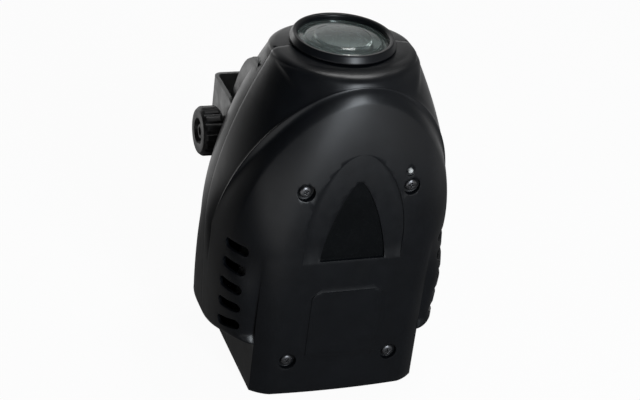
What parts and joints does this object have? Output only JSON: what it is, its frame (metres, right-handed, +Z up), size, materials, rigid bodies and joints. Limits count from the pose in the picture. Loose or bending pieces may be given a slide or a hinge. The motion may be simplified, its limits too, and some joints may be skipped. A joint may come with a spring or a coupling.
{
  "type": "led flower effect light",
  "caption": "Egg-shaped black effect light on a square base, with a lens in its top, side vents, a geared petal wheel inside and a steel yoke on clamp knobs.",
  "frame": {"origin": "on the floor, under the middle of the light's box", "axes": "+Z up along the lens axis, the front faces -Y, +X to the right seen from behind"},
  "size_m": [0.15, 0.136, 0.215],
  "materials": {
    "black_plastic": "finely textured",
    "dark_plastic": "matte",
    "white_plastic": "matte",
    "black_paint": "satin powder coat",
    "steel": "bright zinc",
    "zinc_sheet": "zinc plated",
    "aluminium": "satin",
    "brass": "turned",
    "glass": "polished",
    "rubber": "matte",
    "board_green": "lacquered board"
  },
  "bodies": {
    "housing": {"front_cover": "black_plastic", "rear_cover": "black_plastic", "base_panel": "zinc_sheet", "case_screw_1": "steel", "case_screw_2": "steel", "case_screw_3": "steel", "case_screw_4": "steel", "rear_screw_1": "steel", "rear_screw_2": "steel", "rear_screw_3": "steel", "rear_screw_4": "steel", "panel_screw_1": "steel", "panel_screw_2": "steel", "panel_screw_3": "steel", "panel_screw_4": "steel", "status_lamp": "glass", "lens_bezel": "black_plastic", "objective_lens": "glass", "lens_seal": "rubber", "lens_barrel": "dark_plastic", "wheel_bushing": "brass", "bushing_clip": "steel", "wheel_motor": "steel", "barrel_post_1": "brass", "barrel_post_2": "brass", "barrel_post_3": "brass", "led_board": "white_plastic", "led_emitter": "glass", "condenser_holder": "dark_plastic", "condenser_lens": "glass", "heatsink": "aluminium", "fan_frame": "dark_plastic", "chassis_front": "zinc_sheet", "chassis_rear": "zinc_sheet", "led_shelf": "zinc_sheet", "wheel_shelf": "zinc_sheet", "power_board": "board_green", "transformer": "dark_plastic", "bulk_capacitor": "black_plastic", "control_board": "board_green", "power_inlet": "dark_plastic", "fuse_holder": "dark_plastic", "sensitivity_pot": "steel", "microphone": "aluminium", "friction_washer_left": "rubber", "friction_washer_right": "rubber", "pivot_insert_left": "brass", "pivot_insert_right": "brass"},
    "tilting_yoke": {"yoke": "black_paint"},
    "left_knob": {"yoke_knob_left": "black_plastic", "knob_stud_left": "steel"},
    "right_knob": {"yoke_knob_right": "black_plastic", "knob_stud_right": "steel"},
    "flower_wheel": {"gear_ring": "white_plastic", "flower_disc": "zinc_sheet", "disc_clip": "steel"},
    "pinion": {"motor_pinion": "brass"},
    "fan": {"fan_rotor": "black_plastic"},
    "sound_knob": {"sensitivity_knob": "black_plastic"},
    "fuse_lock": {"fuse_cap": "dark_plastic"}
  },
  "joints": [
    {"name": "yoke_tilt", "type": "hinge", "parent": "housing", "child": "tilting_yoke", "pos_m": [0, 0.03455, 0.1315], "axis": [1, 0, 0], "range_deg": [-25, 40]},
    {"name": "knob_left_turn", "type": "hinge", "parent": "housing", "child": "left_knob", "pos_m": [-0.0541, 0.03455, 0.1315], "axis": [-1, 0, 0], "range_deg": [0, 360]},
    {"name": "knob_right_turn", "type": "hinge", "parent": "housing", "child": "right_knob", "pos_m": [0.0541, 0.03455, 0.1315], "axis": [1, 0, 0], "range_deg": [0, 360]},
    {"name": "wheel_spin", "type": "hinge", "parent": "housing", "child": "flower_wheel", "pos_m": [0, -0.00745, 0.128], "axis": [0, 0, 1], "continuous": true},
    {"name": "pinion_spin", "type": "hinge", "parent": "housing", "child": "pinion", "pos_m": [0.0391, -0.00745, 0.128], "axis": [0, 0, 1], "continuous": true},
    {"name": "fan_spin", "type": "hinge", "parent": "housing", "child": "fan", "pos_m": [0, -0.00745, 0.065], "axis": [0, 0, 1], "continuous": true},
    {"name": "sensitivity_turn", "type": "hinge", "parent": "housing", "child": "sound_knob", "pos_m": [0.03, -0.02745, 0.0022], "axis": [0, 0, -1], "range_deg": [-150, 150]},
    {"name": "fuse_cap_turn", "type": "hinge", "parent": "housing", "child": "fuse_lock", "pos_m": [0.008, -0.02745, 0.0027], "axis": [0, 0, -1], "range_deg": [0, 90]}
  ],
  "couplings": [
    {"joint": "pinion_spin", "follows": "wheel_spin", "ratio": -4.2}
  ]
}
